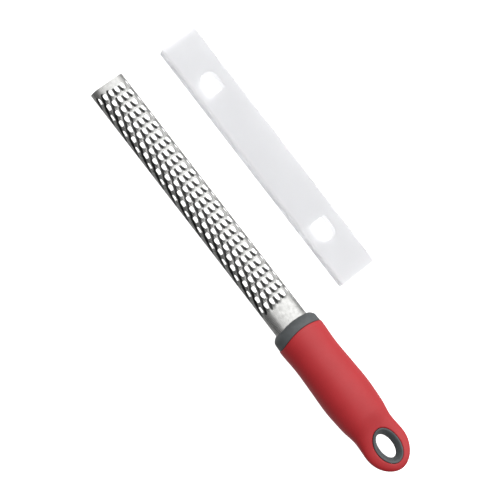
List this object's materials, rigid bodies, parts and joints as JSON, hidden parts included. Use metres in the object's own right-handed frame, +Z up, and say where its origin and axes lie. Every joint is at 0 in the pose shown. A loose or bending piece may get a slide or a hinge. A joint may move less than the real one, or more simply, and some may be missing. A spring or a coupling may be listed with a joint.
{
  "type": "rasp grater",
  "caption": "Hand rasp-grater: a long arched blade of raised teeth in a soft oval handle with a hanging hole, and a translucent sleeve that covers the blade.",
  "frame": {"origin": "middle of the whole set's footprint, on the table that it lies on", "axes": "+X along the tool from the blade's tip to the hanging hole, +Y across to the cover, +Z up"},
  "size_m": [0.3226, 0.0941, 0.028],
  "materials": {
    "steel": "etched stainless steel, satin",
    "slate_plastic": "dark grey moulded plastic, fine matte texture",
    "core_plastic": "dark grey moulded plastic, plain",
    "soft_red": "red soft-touch overmould, velvety matte",
    "clear_plastic": "translucent milky plastic, thin wall"
  },
  "bodies": {
    "tool": {"blade": "steel", "collar": "slate_plastic", "core_frame": "core_plastic", "core_cap": "core_plastic", "hanging_eyelet": "slate_plastic", "grip_sleeve": "soft_red"},
    "cover": {"blade_cover": "clear_plastic"}
  },
  "joints": [
    {"name": "cover_slide", "type": "slide", "parent": "tool", "child": "cover", "axis": [-1, 0, 0], "range_m": [0, 0.2]}
  ]
}
